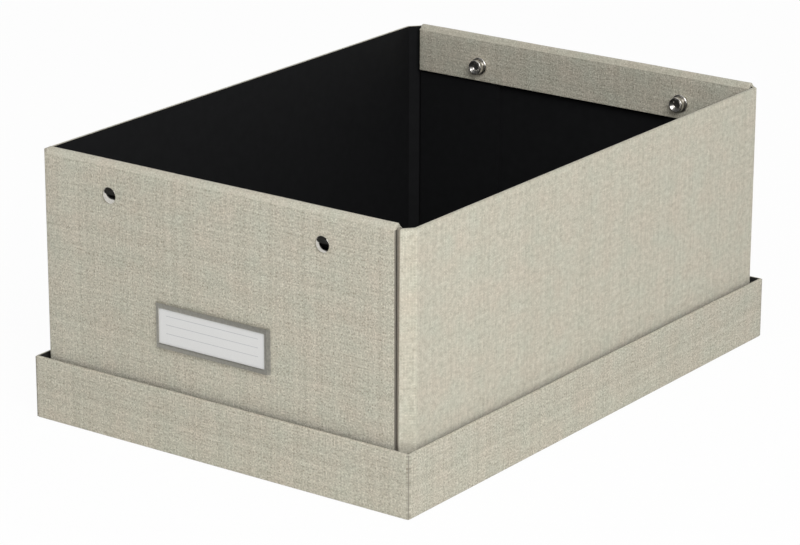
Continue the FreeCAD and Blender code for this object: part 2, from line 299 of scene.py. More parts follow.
def objectPlace(tree):
    # place on the piece in millimetres
    return stretched(tree, put(tree, "TexCoord").outputs["Object"], (1 / metre,) * 3)


def finishMaterial(material, tree, values, height, strength, depth):
    # one shader over a bump whose depth is in millimetres
    bump = put(tree, "Bump", {"Height": height, "Strength": strength, "Distance": depth * metre})
    shader = put(tree, "BsdfPrincipled", {**values, "Normal": bump.outputs[0]})
    put(tree, "OutputMaterial", {"Surface": shader.outputs[0]})
    return material


def addWeave(tree, vector, weights):
    # plain weave: the product of two sines is positive where the upright thread lies on top;
    # every thread has its own tone, which drifts along its length as slubs, and flecks cross it
    spec = cloth
    drift = put(tree, "TexNoise", {"Vector": vector, "Scale": spec["wanderScale"], "Detail": 2.0})
    drift, place = parted(tree, drift.outputs["Color"]), parted(tree, vector)
    a, b = [calc(tree, "DIVIDE", calc(tree, "MULTIPLY_ADD", drift[k], spec["wander"], place[k]), pitch)
            for k, pitch in enumerate((spec["pitchAcross"], spec["pitchUp"]))]
    waveA = calc(tree, "SINE", calc(tree, "MULTIPLY", a, math.pi))
    waveB = calc(tree, "SINE", calc(tree, "MULTIPLY", b, math.pi))
    over = calc(tree, "MULTIPLY_ADD", calc(tree, "MULTIPLY", waveA, waveB), spec["overlap"], 0.5,
                clamp=True)
    grain = noise(tree, vector, weights["fleckScale"], detail=3.0, roughness=0.7)
    fleck = calc(tree, "SUBTRACT", grain, 0.5)
    tones = []
    for thread, along, share, seed in zip((a, b), (b, a), (weights["ownUpright"], weights["ownLevel"]),
                                          spec["threadSeeds"]):
        thread = calc(tree, "FLOOR", thread)
        own = put(tree, "TexWhiteNoise", {"W": calc(tree, "ADD", thread, seed)}, noise_dimensions="1D")
        row = calc(tree, "MULTIPLY", thread, spec["slubStep"])
        run = calc(tree, "DIVIDE", along, spec["slubLength"])
        slub = noise(tree, vectorOf(tree, row, run, seed), 1.0, detail=3.0, roughness=0.6)
        # the lift raises the whole tone, painted light on the cap's upturned slope
        level = spec["meanTone"] + weights["paintedLift"] - 0.5 * (share + weights["slub"])
        slubTone = calc(tree, "MULTIPLY_ADD", slub, weights["slub"], level)
        tones.append(calc(tree, "MULTIPLY_ADD", own.outputs["Value"], share, slubTone))
    tone = mixValue(tree, over, tones[1], tones[0])
    tone = calc(tree, "MULTIPLY_ADD", fleck, weights["fleck"], tone)
    humpA, humpB = [calc(tree, "POWER", calc(tree, "ABSOLUTE", wave), spec["roundThread"])
                    for wave in (waveA, waveB)]
    hump = mixValue(tree, over, humpB, humpA)
    height = calc(tree, "MULTIPLY_ADD", fleck, spec["fleckHeight"] * weights["height"],
                  calc(tree, "ADD", hump, tone))
    threads = (spec["darkThread"], spec["midThread"], spec["paleThread"])
    colour = ramp(tree, tone, list(zip(spec["toneStops"], threads)))
    colour = shaded(tree, colour,
                    calc(tree, "MULTIPLY_ADD", hump, spec["crownShade"], spec["valleyShade"]))
    broad = noise(tree, vector, spec["tintScale"], detail=3.0, roughness=0.55)
    tint = noiseRamp(tree, broad, spec["coolTint"], spec["warmTint"])
    return mixColour(tree, 1.0, colour, tint, "MULTIPLY"), height


def seamsAndPaintedShade(tree, colour, vector, seamAndShadeLines, line):
    # dark line in the cloth at every given place along the cloth's own u, uneven in width: the lid rim's
    # dark seam joints, and the painted shade down the long sides' grooves
    place = parted(tree, vector)
    nearest = 1000.0  # further away than any seam
    for linePlace in seamAndShadeLines:
        away = calc(tree, "ABSOLUTE", calc(tree, "SUBTRACT", place[0], linePlace))
        nearest = calc(tree, "MINIMUM", nearest, away)
    uneven = noise(tree, vector, line["dashScale"], detail=2.0, roughness=0.6)
    foot = line["width"] - line["broken"] - line["widening"] * clothStart["sideFoot"]
    narrow = calc(tree, "MULTIPLY_ADD", place[1], line["widening"], foot)
    width = calc(tree, "MULTIPLY_ADD", uneven, 2 * line["broken"], narrow)
    away = calc(tree, "SUBTRACT", nearest, width)
    share = fade(tree, away, *line["blur"], start=line["darkness"], end=0.0)
    return mixColour(tree, share, colour, (*line["colour"], 1.0))


def linenMaterial(name, source, weights, seamAndShadeLines=(), line=None, liningAndShadeFrom=None):
    material, tree = startMaterial(name)
    vector = put(tree, "UVMap", uv_map="cloth").outputs[0] if source == "own" else objectPlace(tree)
    colour, height = addWeave(tree, vector, weights)
    if seamAndShadeLines:
        colour = seamsAndPaintedShade(tree, colour, vector, seamAndShadeLines, line)
    if liningAndShadeFrom:
        # the black paper is folded over the cloth's hem, from this place along the cloth's v; this black
        # over the inner hem and the rim's edge is painted shade of the gap between rim and box
        blur = lining["blur"]
        share = fade(tree, parted(tree, vector)[1], liningAndShadeFrom - blur, liningAndShadeFrom + blur)
        colour = mixColour(tree, share, colour, (*lining["hem"], 1.0))
    rough = calc(tree, "MULTIPLY_ADD", height, -cloth["crownGloss"], cloth["rough"], clamp=True)
    return finishMaterial(material, tree, {
        "Base Color": colour, "Roughness": rough, "Specular IOR Level": cloth["specular"],
        "Sheen Weight": cloth["sheen"], "Sheen Roughness": cloth["sheenRough"]},
        height, cloth["bumpStrength"], cloth["bumpDepth"])


# Papers: fine grain per millimetre, with wide clouds that are a share of it
paper = dict(clouds=0.04, cloudShare=0.35, roughSpread=0.16, bumpStrength=0.35)
boardPaper = dict(dark=(0.20, 0.185, 0.155), pale=(0.34, 0.32, 0.275), grain=3.0, rough=0.9,
                  specular=0.2, bumpDepth=0.05)
liningPaper = dict(dark=(0.0035, 0.0037, 0.0042), pale=(0.0085, 0.0088, 0.0098), grain=4.0, rough=0.8,
                   specular=0.22, bumpDepth=0.03)


def paperMaterial(name, spec):
    material, tree = startMaterial(name)
    vector = objectPlace(tree)
    fine = noise(tree, vector, spec["grain"], detail=4.0, roughness=0.65)
    wide = noise(tree, vector, spec["grain"] * paper["clouds"], detail=3.0, roughness=0.5)
    fineShare = calc(tree, "MULTIPLY", fine, 1 - paper["cloudShare"])
    tone = calc(tree, "MULTIPLY_ADD", wide, paper["cloudShare"], fineShare)
    spread = paper["roughSpread"]
    rough = calc(tree, "MULTIPLY_ADD", fine, spread, spec["rough"] - spread / 2, clamp=True)
    return finishMaterial(material, tree, {
        "Base Color": noiseRamp(tree, tone, spec["dark"], spec["pale"]), "Roughness": rough,
        "Specular IOR Level": spec["specular"]}, fine, paper["bumpStrength"], spec["bumpDepth"])


# Metals: cloudy tone and fine scratches; the painted side light brightens the colour of faces that are
# turned sideways, painted light on the label holder's bent sides
metal = dict(cloudScale=0.55, scratchScale=2.2, cloudRough=0.1, scratchRough=0.16, sideways=(0.25, 0.6),
             bumpStrength=0.12, bumpDepth=0.02)
nickelPlate = dict(dark=(0.66, 0.64, 0.60), pale=(0.84, 0.82, 0.785), rough=0.29, stretch=1.0, paintedSideLight=1.0)
studPlate = dict(dark=(0.5, 0.482, 0.44), pale=(0.64, 0.62, 0.57), rough=0.14, stretch=1.0, paintedSideLight=1.0)
holderPlate = dict(dark=(0.34, 0.331, 0.294), pale=(0.45, 0.437, 0.39), rough=0.5, stretch=6.0, paintedSideLight=1.6)


def metalMaterial(name, spec):
    material, tree = startMaterial(name)
    vector = objectPlace(tree)
    cloudy = noise(tree, vector, metal["cloudScale"], detail=3.0, roughness=0.6)
    scratch = noise(tree, stretched(tree, vector, (1.0, 1.0, spec["stretch"])), metal["scratchScale"],
                    detail=3.0, roughness=0.6)
    colour = noiseRamp(tree, cloudy, spec["dark"], spec["pale"])
    # painted light: faces turned sideways get a lighter colour
    if spec["paintedSideLight"] != 1.0:
        normal = put(tree, "NewGeometry").outputs["Normal"]
        sideways = calc(tree, "ABSOLUTE", parted(tree, normal)[0])
        gain = fade(tree, sideways, *metal["sideways"], start=1.0, end=spec["paintedSideLight"])
        colour = shaded(tree, colour, gain)
    low = spec["rough"] - (metal["cloudRough"] + metal["scratchRough"]) / 2
    cloudRough = calc(tree, "MULTIPLY_ADD", cloudy, metal["cloudRough"], low)
    rough = calc(tree, "MULTIPLY_ADD", scratch, metal["scratchRough"], cloudRough, clamp=True)
    return finishMaterial(material, tree, {"Base Color": colour, "Metallic": 1.0, "Roughness": rough},
                          scratch, metal["bumpStrength"], metal["bumpDepth"])


linen = linenMaterial("linenCloth", "own", coarseCloth)
# the cap's linen is a lighter copy of the cloth: painted light on its upturned slope
capLinenPaintedLight = linenMaterial("linenCapPaintedLight", "own", capClothPaintedLight)
flatLinen = linenMaterial("linenUnderside", "object", coarseCloth)
greyBoard = paperMaterial("greyBoard", boardPaper)
blackPaper = paperMaterial("blackLining", liningPaper)
nickel = metalMaterial("nickelPlate", nickelPlate)
polishedStud = metalMaterial("polishedStud", studPlate)
satinNickel = metalMaterial("satinHolder", holderPlate)
print("materials ready")


# Lid rim: linen from under the lid up its outside, over the edge and down to a hem inside; on the
# ends the long side's cloth laps round the corner
lidRim = dict(outerRound=1.2, innerRound=0.7, insideRound=0.25, footRound=1.4, hem=14.0, underLap=12.0,
              wall=2.7, outerCorner=2.2, innerCorner=0.35, flatWithin=0.05, lap=2.4, lapSlope=0.35,
              lapRise=0.3, arcSteps=5, profileSteps=(1, 10, 2, 4), cornerSteps=6, runSteps=60,
              swell=0.16, swellDepth=0.6, swellSeed=1.3, edgeWave=0.3, edgeReach=1.2, edgeSeed=2.2)


def rimProfile(top):
    # (depth, height) of the cloth: from under the lid up its outside, over the edge and down inside,
    # then back along its inner face
    spec, thick = lidRim, cloth["thickness"]
    outer = [(spec["underLap"], 0), (0, 0), (0, top), (spec["wall"], top), (spec["wall"], top - spec["hem"])]
    radii = [0, spec["footRound"], spec["outerRound"], spec["innerRound"], 0]
    outside = roundedLine(outer, radii, spec["arcSteps"], spec["profileSteps"])
    inner = offsetCorners(outer, -thick)
    inner[0, 0] = spec["underLap"]
    radii = [0, spec["footRound"] - thick, spec["outerRound"] - thick, spec["insideRound"], 0]
    inside = roundedLine(inner, radii, spec["arcSteps"], spec["profileSteps"])
    return np.concatenate([outside, inside[::-1]])


def lidRimPiece():
    # the profile is carried round a rectangle whose corners are arcs, with equal counts on every row
    spec, high = lidRim, cadBox("lid_rim_linen")[1]
    top, profile = high[2], rimProfile(high[2])
    depth, height = profile.T
    radius = np.interp(depth, [0, spec["wall"]], [spec["outerCorner"], spec["innerCorner"]])
    spanX, spanY = high[0] - depth - radius, high[1] - depth - radius

    def cornerColumn(sign, angle):
        return np.stack([sign[0] * spanX + radius * math.cos(angle),
                         sign[1] * spanY + radius * math.sin(angle), height], 1)

    columns, fromCorner, seamColumns = [], [], []
    for turn, sign in enumerate(cornerSigns):
        onEnd = turn % 2  # the runs alternate between a long side and an end
        angles = (turn - 1) * quarterTurn + np.linspace(0, quarterTurn, spec["cornerSteps"] + 1)
        seamColumns.append(len(columns) + spec["cornerSteps"] // 2)
        columns += [cornerColumn(sign, angle) for angle in angles[:-1]]
        fromCorner += [onEnd * spec["lap"] / 2] * spec["cornerSteps"]
        first = cornerColumn(sign, angles[-1])
        second = cornerColumn(cornerSigns[(turn + 1) % 4], angles[-1])
        run = np.linalg.norm(second[0] - first[0])
        lapEdges = np.array([0, spec["lap"], spec["lap"] + spec["lapSlope"], 2 * spec["lap"]]) / run
        shares = np.concatenate([np.linspace(0, 1, spec["runSteps"] + 1), lapEdges, 1 - lapEdges])
        shares = np.unique(shares)
        shares = shares[shares < 1]
        columns += list(first + (second - first) * shares[:, None, None])
        fromCorner += list(onEnd * run * np.minimum(shares, 1 - shares))
    points = np.stack(columns, 1)
    along = runLength(np.concatenate([points[0], points[0][:1]]))
    # outward swell of the glued cloth, and the step down behind the lap
    reach = np.abs(points[..., :2])
    onFace = reach > reach.max(1, keepdims=True) - spec["flatWithin"]
    outward = np.where(onFace, np.sign(points[..., :2]), 0)
    onOutside = np.clip(1 - depth / spec["swellDepth"], 0, 1) * (height > spec["footRound"])
    swell = unevenness(along[:-1][None, :], height[:, None], spec["swellSeed"], spec["swell"])
    isEnd = np.abs(points[0][:, 1]) > high[1] - spec["outerCorner"]
    lapped = np.clip((spec["lap"] - np.array(fromCorner)) / spec["lapSlope"] + 1, 0, 1)
    swell = swell + spec["lapRise"] * isEnd * (lapped - 1)
    points[..., :2] += outward * (swell * onOutside[:, None])[..., None]
    # the top edge rises and falls a little
    wave = unevenness(along[:-1], 0 * along[:-1], spec["edgeSeed"], spec["edgeWave"])
    points[..., 2] += (height > top - spec["edgeReach"])[:, None] * (wave - spec["edgeWave"] / 2)
    across = np.r_[runLength(profile), 0] + clothStart["rimFoot"]
    # the black starts just over the rim's edge: painted shade of the gap between rim and box
    onHem = (depth > spec["wall"] - lining["shadeOverEdge"]) & (height > top / 2)
    seamAndShadeLines = [float(along[k]) for k in seamColumns]  # down the middle of each corner's arc
    return gridPart(points, along, across, True, True), seamAndShadeLines, float(across[np.argmax(onHem)])


rimPart, rimSeams, rimHem = lidRimPiece()
rimLinen = linenMaterial("linenLidRim", "own", coarseCloth, rimSeams, seamLine, rimHem)
makePiece("lidRimCloth", [rimPart], "lid", rimLinen, ["lid_rim_linen"])
print("lid rim done")


# Long sides: cloth outside and over the top edge; the creases are the radii at the step, at the wide
# facet and at the narrow one
sideCloth = dict(wideRun=7.6, wideDepth=8.6, joggle=3.3, narrowRun=4.0, narrowDepth=2.6, boardBack=2.3,
                 creases=(1.3, 1.1, 0.9), stepShrink=0.4, leastCrease=0.12, flatWithin=0.02,
                 grooveShadeMiddle=1.6, topRound=0.7, tuck=0.2, bendSteps=5, levels=8, backLevels=3, arcSteps=5,
                 runSteps=(2, 3, 70, 2), swell=0.14, calmTop=4.0)


def sideLine():
    # the plan line of the right side's cloth, from the step behind the front end to the narrow facet
    low, high = cadBox("right_side_linen")
    flapY = cadBox("front_right_corner_flap")[0][1] - cloth["thickness"]
    side, spec = high[0], sideCloth
    return np.array([
        (side - spec["wideRun"] - spec["joggle"], flapY), (side - spec["wideRun"], low[1]),
        (side, low[1] + spec["wideDepth"]), (side, -flapY - spec["narrowDepth"]),
        (side - spec["narrowRun"], -flapY)])


def sideProfile(top):
    # (depth, height, share of the rise): up the outside, over the board's edge, back down inside
    spec, thick, rounding = sideCloth, cloth["thickness"], sideCloth["topRound"]
    foot = top - rounding
    profile = [(0.0, foot, share) for share in np.linspace(0, 1, spec["levels"])]
    profile += [(rounding * (1 - math.cos(turn)), foot + rounding * math.sin(turn), 1.0)
                for turn in np.linspace(0, quarterTurn, spec["bendSteps"] + 1)[1:]]
    profile += [(spec["boardBack"], top, 1.0), (spec["boardBack"], top - thick, 1.0),
                (thick + spec["tuck"], top - thick, 1.0)]
    profile += [(thick, foot, share) for share in np.linspace(1, 0, spec["backLevels"])]
    return np.array(profile)


def sideClothPiece(name, node, turned, seed):
    # the profile is carried along the plan line; each ring follows the line offset by its depth,
    # with creases that shrink or grow by the same amount
    spec, line, top = sideCloth, sideLine(), cadBox(node)[1][2]
    profile = sideProfile(top)
    depth, height, rise = profile.T
    rings = []
    for reach in depth:
        step, *creases = spec["creases"]
        radii = [0, step - reach * spec["stepShrink"]]
        radii += [max(crease - reach, spec["leastCrease"]) for crease in creases] + [0]
        rings.append(roundedLine(offsetCorners(line, reach), radii, spec["arcSteps"], spec["runSteps"]))
    plan = np.stack(rings)
    along = runLength(plan[0])
    onSide = plan[0][:, 0] > line[2][0] - spec["flatWithin"]
    low = np.where(onSide, cadBox("base_cover")[0][2], cadBox("front_right_corner_flap")[0][2])
    z = height[:, None] * rise[:, None] + low[None, :] * (1 - rise[:, None])
    points = np.concatenate([plan, z[..., None]], 2)
    outside = (depth == 0)[:, None] * (z < top - spec["calmTop"]) * onSide
    points[..., 0] += unevenness(along[None, :], z, seed, spec["swell"]) * outside
    across = runLength(np.stack([depth, z[:, len(along) // 2]], 1))
    start = clothStart["sideStep"] * seed
    parts = [gridPart(points, along + start, np.r_[across, 0] + clothStart["sideFoot"], True, False)]
    parts += [endFace(points[:, column]) for column in (0, len(along) - 1)]
    # painted shade down the groove between the end panel's edge and the facet, drawn as a dark line in the
    # side's cloth
    material = linenMaterial(name + "Linen", "own", calmCloth, [start + spec["grooveShadeMiddle"]], paintedGrooveShade)
    makePiece(name, parts, "box", material, [node], turned)


sideClothPiece("rightSideCloth", "right_side_linen", turned=False, seed=2.0)
sideClothPiece("leftSideCloth", "left_side_linen", turned=True, seed=3.0)
print("long sides done")


# Ends: outer panel and inner flap are sheets with round holes; the cap between them is rolled
endCloth = dict(edgeRound=0.45, topRound=0.12, depth=0.5, step=7.0, hole=10.1, holeRound=0.3, patch=9.0,
                patchSteps=12, seed=5.0)
flapCloth = dict(edgeRound=0.7, topRound=0.1, depth=2.3, step=6.0, hole=10.0, holeRound=0.2, patch=8.0,
                 patchSteps=10, seed=7.0)
# Steps and swell of both; the swell fades out towards the border and towards the holes
sheet = dict(leastSteps=2, ringSteps=4, holeSteps=4, cornerSteps=6, edgeSteps=5, swell=0.14,
             borderFade=12.0, holeCalm=6.0, holeFade=8.0)
ends = (("front", False), ("rear", True))
endLow, endHigh = cadBox("front_end_linen")
capLow, capHigh = cadBox("front_cap_linen")
flapLow, flapHigh = cadBox("front_flap_linen")
socketLow, socketHigh = cadBox("front_snap_sockets")
eyeletLow, eyeletHigh = cadBox("front_snap_eyelets")
socketRadius = (socketHigh[2] - socketLow[2]) / 2
studZ = (socketHigh[2] + socketLow[2]) / 2
studXs = [socketLow[0] + socketRadius, socketHigh[0] - socketRadius]


def linesThrough(low, high, spec, middles):
    # grid lines from low to high that stop at both borders of the square patch round every hole
    half = spec["patch"]
    stops = [low, *(middle + side for middle in middles for side in (-half, half)), high]
    lines = []
    for k, (start, stop) in enumerate(zip(stops, stops[1:])):
        count = spec["patchSteps"] if k % 2 else max(sheet["leastSteps"], int((stop - start) / spec["step"]))
        lines.append(np.linspace(start, stop, count + 1)[:-1])
    return np.concatenate(lines + [[high]])


def holeRings(middle, spec, swellAt):
    # rows of (x, depth, z): on each face from the patch's square border to the circle, then a
    # quarter arc into the hole and straight back
    half, steps, thick = spec["patch"], spec["patchSteps"], cloth["thickness"]
    side, border = np.linspace(-half, half, steps + 1)[:-1], np.full(steps, half)
    squareX = np.concatenate([side, border, -side, -border])
    squareZ = np.concatenate([-border, side, border, -side])
    angle = (np.arange(4 * steps) / steps - 1.5) * quarterTurn  # from the lower left corner on
    radius, fillet = spec["hole"] / 2, spec["holeRound"]
    share = np.linspace(0, 1, sheet["ringSteps"] + 1)[:, None]
    rings = []
    for reach, isNear in ((radius + fillet, True), (radius, False)):
        x = middle + squareX * (1 - share) + np.cos(angle) * reach * share
        z = studZ + squareZ * (1 - share) + np.sin(angle) * reach * share
        rings.append((x, -swellAt(x, z) if isNear else np.full_like(x, thick), z))
    turn = np.linspace(0, quarterTurn, sheet["holeSteps"] + 1)
    radii = np.r_[radius + fillet * (1 - np.sin(turn)), radius][:, None]
    depth = np.r_[fillet * (1 - np.cos(turn)), thick][:, None]
    rings.append((middle + np.cos(angle) * radii, depth, studZ + np.sin(angle) * radii))
    return rings


def borderLine(xs, zs):
    # round the border, turning left: each side without its ends, then its corner many times over,
    # together with the direction that every point faces
    x, z, facing = [], [], []
    corner = np.linspace(0, quarterTurn, sheet["cornerSteps"] + 1)
    sides = ((xs, zs[:1]), (xs[-1:], zs), (xs[::-1], zs[-1:]), (xs[:1], zs[::-1]))
    for turn, side in enumerate(sides):
        sideX, sideZ = np.broadcast_arrays(*side)
        outwards = (turn - 1) * quarterTurn
        x += [sideX[1:-1], np.full(len(corner), sideX[-1])]
        z += [sideZ[1:-1], np.full(len(corner), sideZ[-1])]
        facing += [np.full(len(sideX) - 2, outwards), outwards + corner]
    return np.concatenate(x), np.concatenate(z), np.concatenate(facing)


def panelParts(low, high, face, facing, spec, seed):
    # flat sheet with round holes, its border carried round the edge by a quarter arc and straight back
    thick, half, deep = cloth["thickness"], spec["patch"], spec["depth"]
    edge, top = spec["edgeRound"], spec["topRound"]
    xs = linesThrough(low[0] + edge, high[0] - edge, spec, studXs)
    zs = linesThrough(low[2] + edge, high[2] - top, spec, [studZ])

    def place(x, depth, z):
        return pointsOf(x, face - facing * depth, z)

    def swellAt(x, z):
        inset = np.minimum.reduce([x - low[0], high[0] - x, z - low[2], high[2] - z])
        near = np.min([np.hypot(x - middle, z - studZ) for middle in studXs], axis=0)
        ease = np.clip((inset - edge) / sheet["borderFade"], 0, 1)
        ease = ease * np.clip((near - sheet["holeCalm"]) / sheet["holeFade"], 0, 1)
        return unevenness(x, z, seed, sheet["swell"]) * ease

    x, z = np.meshgrid(xs, zs)
    skip = np.zeros(x.shape, bool)
    for middle in studXs:
        skip |= (np.abs(x - middle + tiny) < half) & (np.abs(z - studZ + tiny) < half)
    parts = [gridPart(place(x, depth, z), x, z, skip=skip) for depth in (-swellAt(x, z), thick)]
    for middle in studXs:
        for x, depth, z in holeRings(middle, spec, swellAt):
            parts.append(gridPart(place(x, depth, z), x, z, closeColumns=True))
    # the border: outward arc, straight back, then the inner side of the sheet to its own border
    x, z, outwards = borderLine(xs, zs)
    outX, outZ, zero = np.cos(outwards), np.sin(outwards), np.zeros_like(x)
    rounding = np.where(z > (low[2] + high[2]) / 2, top, edge)
    reach = outX ** 2 * edge + outZ ** 2 * rounding
    turn = np.linspace(0, quarterTurn, sheet["edgeSteps"] + 1)[:, None]
    insetX, insetZ = zero + edge - thick, np.maximum(rounding - thick, 0)
    moveX = np.concatenate([zero + edge * np.sin(turn), [zero + edge, insetX, insetX, zero]])
    moveZ = np.concatenate([rounding * np.sin(turn), [rounding, insetZ, insetZ, zero]])
    depth = np.concatenate([reach * (1 - np.cos(turn)), [zero + deep, zero + deep, zero + thick,
                                                         zero + thick]])
    arc = np.concatenate([reach * turn, [reach * (quarterTurn - 1) + deep, reach + deep + thick,
                                         zero + thick, zero + thick]])
    points = place(x + outX * moveX, depth, z + outZ * moveZ)
    parts.append(gridPart(points, x + outX * arc, z + outZ * arc, closeColumns=True))
    return parts


for endName, isTurned in ends:
    parts = panelParts(endLow, endHigh, endLow[1], -1, endCloth, endCloth["seed"] + isTurned)
    makePiece(endName + "EndCloth", parts, "box", linen, [endName + "_end_linen"], isTurned)
    parts = panelParts(flapLow, flapHigh, flapHigh[1], 1, flapCloth, flapCloth["seed"] + isTurned)
    makePiece(endName + "FlapCloth", parts, endName + "_flap", linen,
              [endName + "_flap_linen"], isTurned)
print("end panels and inner flaps done")

capRoll = dict(shoulderRun=2.6, shoulderRise=3.3, ridgeRun=5.6, shoulderRound=2.0, ridgeRound=1.6,
               footFront=0.65, footBack=0.625, arcSteps=8, runSteps=(4, 2, 4), endRound=1.1, endSteps=5,
               steps=60, middleRise=0.4, footFade=1.5, wave=0.3, waveFade=10.0, seed=9.0)


def capPiece(name, body, node, turned, seed):
    # an arched cover, closed at both ends and open below: an outer and an inner skin of equal counts
    spec, thick, crease = capRoll, cloth["thickness"], capLow[2]
    deep, left, right = capHigh[1] - capLow[1], capLow[0], capHigh[0]
    corners = [(0, crease), (spec["shoulderRun"], crease + spec["shoulderRise"]),
               (spec["ridgeRun"], capHigh[2]), (deep, crease)]
    radii = np.array([0, spec["shoulderRound"], spec["ridgeRound"], 0])
    outside = roundedLine(corners, radii, spec["arcSteps"], spec["runSteps"])
    inner = offsetCorners(corners, -thick)
    inner[0], inner[-1] = (spec["footFront"], crease), (deep - spec["footBack"], crease)
    inside = roundedLine(inner, np.maximum(radii - thick, 0), spec["arcSteps"], spec["runSteps"])
    # the outer skin rounds off at both ends, and its ridge rises and falls a little
    bend = np.linspace(0, quarterTurn, spec["endSteps"] + 1)
    near, inset = spec["endRound"] * (1 - np.cos(bend)), spec["endRound"] * (1 - np.sin(bend))
    xs = np.linspace(left, right, spec["steps"] + 1)[1:-1]
    xs = np.concatenate([left + near, xs, (right - near)[::-1]])
    inset = np.concatenate([inset, np.zeros(spec["steps"] - 1), inset[::-1]])
    wave = unevenness(xs, 0 * xs, seed, spec["wave"]) - spec["wave"] / 2
    wave = wave * np.clip(np.minimum(xs - left, right - xs) / spec["waveFade"], 0, 1)
    middle = np.array([deep / 2, crease + spec["middleRise"]])
    innerXs = np.interp(xs, [left, right], [left + thick, right - thick])
    skins = []
    for line, places, shrink in ((outside, xs, inset), (inside, innerXs, 0 * inset)):
        away = (line - middle) / np.linalg.norm(line - middle, axis=1, keepdims=True)
        share = np.clip((line[:, 1:] - crease) / spec["footFade"], 0, 1)
        depth = line[:, :1] - away[:, :1] * shrink * share
        height = line[:, 1:] - away[:, 1:] * shrink * share + wave * share
        skins.append(pointsOf(places, capLow[1] + depth, height))
    across = runLength(outside) + endHigh[2]
    parts = [gridPart(skin, xs, across) for skin in skins]
    for row in (0, -1):
        rim = np.stack([skin[row] for skin in skins])
        parts.append(gridPart(rim, xs, across[row] + np.array([0, thick])))
    for column in (0, -1):
        parts += [endFace(skin[:, column]) for skin in skins]
        outer, inner = skins[0][:, column], skins[1][:, column]
        parts.append(endFace(np.stack([outer[0], outer[-1], inner[-1], inner[0]]), (0, 1)))
    makePiece(name, parts, body, capLinenPaintedLight, [node], turned)


for endName, isTurned in ends:
    capPiece(endName + "CapCloth", endName + "_cap", endName + "_cap_linen", isTurned,
             capRoll["seed"] + isTurned)
print("caps done")


# Press fasteners: profiles of (radius, depth behind the face of the end's cloth), turned round an axis
lathe = dict(around=72, arcSteps=4, mapWidth=30.0)
wallDepth = 2.6  # depth of the end panel, of the corner flap behind it and of the inner flap
# The rounds belong to the profile's corners in their order, a rivet's after its dome
rivet = dict(head=5.6, headHeight=2.1, domeSteps=12, rim=0.12, edge=0.25, overCloth=0.02, throughHole=4.7,
             shank=2.5, foot=3.3, footHeight=0.2, neck=2.7, neckHeight=0.8, bulb=3.0, bulbHeight=1.6,
             tip=2.4, rounds=(0.15, 0.1, 0.05, 0.1, 0.1, 0.1, 0.08, 0.1, 0.3, 0.5, 0.4, 0))
socket = dict(bore=4.0, lip=5.8, barrel=4.9, ring=6.6, rounds=(0, 0.15, 0.15, 0.05, 0.05, 0.35, 0.9, 0))
eyelet = dict(stem=3.95, stemShown=1.2, head=5.4, crest=4.75, dish=2.95, dishDepth=1.45, well=2.6,
              wellDepth=2.1, rounds=(0, 0.3, 0.2, 0.8, 0.6, 0.35, 0.2, 0.12, 0.3, 0))


def lathePart(corners, rounds, x):
    # the profile's corners are rounded and turned round the fastener's axis, which stands at x; a
    # profile that starts off the axis is closed into a ring
    closed = corners[0][0] > 0
    if closed:
        corners, rounds = corners + corners[:1], (*rounds, 0)
    line = roundedLine(corners, rounds, lathe["arcSteps"], [1] * (len(corners) - 1))
    if closed:
        line = line[:-1]
    angle = np.linspace(0, 4 * quarterTurn, lathe["around"] + 1)[:-1]
    radius, depth = line[:, :1], line[:, 1:]
    points = pointsOf(x + radius * np.cos(angle), endLow[1] + depth, studZ + radius * np.sin(angle))
    along = np.linspace(0, lathe["mapWidth"], len(angle) + 1)
    return gridPart(points, along, np.r_[runLength(line), 0], closed, True)


def rivetProfile():
    # a polished dome standing a little proud of the cloth, and the bulbous stud on its other side
    spec, high, foot = rivet, rivet["headHeight"], 2 * wallDepth
    tip = cadBox("front_press_studs")[1][1] - endLow[1]
    sphere = (spec["head"] ** 2 + high ** 2) / (2 * high)
    reach = np.linspace(0, spec["head"] - spec["rim"], spec["domeSteps"])
    dome = sphere - np.sqrt(sphere ** 2 - reach ** 2) - spec["edge"] - high
    corners = [*zip(reach, dome), (spec["head"], -spec["edge"]), (spec["head"], -spec["overCloth"]),
               (spec["throughHole"], -spec["overCloth"]), (spec["throughHole"], wallDepth),
               (spec["shank"], wallDepth), (spec["shank"], foot), (spec["foot"], foot),
               (spec["foot"], foot + spec["footHeight"]), (spec["neck"], foot + spec["neckHeight"]),
               (spec["bulb"], foot + spec["bulbHeight"]), (spec["tip"], tip), (0, tip)]
    return corners, (0,) * len(reach) + spec["rounds"]


def socketProfile():
    # a barrel through the inner flap between a thin lip behind it and a thick ring on its face
    spec, face = socket, flapHigh[1] - endLow[1]
    lip, ring = socketLow[1] - endLow[1], socketHigh[1] - endLow[1]
    corners = [(spec["bore"], lip), (spec["lip"], lip), (spec["lip"], face - wallDepth),
               (spec["barrel"], face - wallDepth), (spec["barrel"], face), (spec["ring"], face),
               (spec["ring"], ring), (spec["bore"], ring)]
    return corners, spec["rounds"]


def eyeletProfile():
    # a thick head with a rolled rim, a sloping dish and a flat well, on a straight stem
    spec, tail, top = eyelet, eyeletLow[1] - endLow[1], eyeletHigh[1] - endLow[1]
    head = socketHigh[1] - endLow[1] + spec["stemShown"]
    dish, well = top - spec["dishDepth"], top - spec["wellDepth"]
    corners = [(0, tail), (spec["stem"], tail), (spec["stem"], head), (spec["head"], head),
               (spec["head"], top), (spec["crest"], top), (spec["dish"], dish), (spec["well"], dish),
               (spec["well"], well), (0, well)]
    return corners, spec["rounds"]


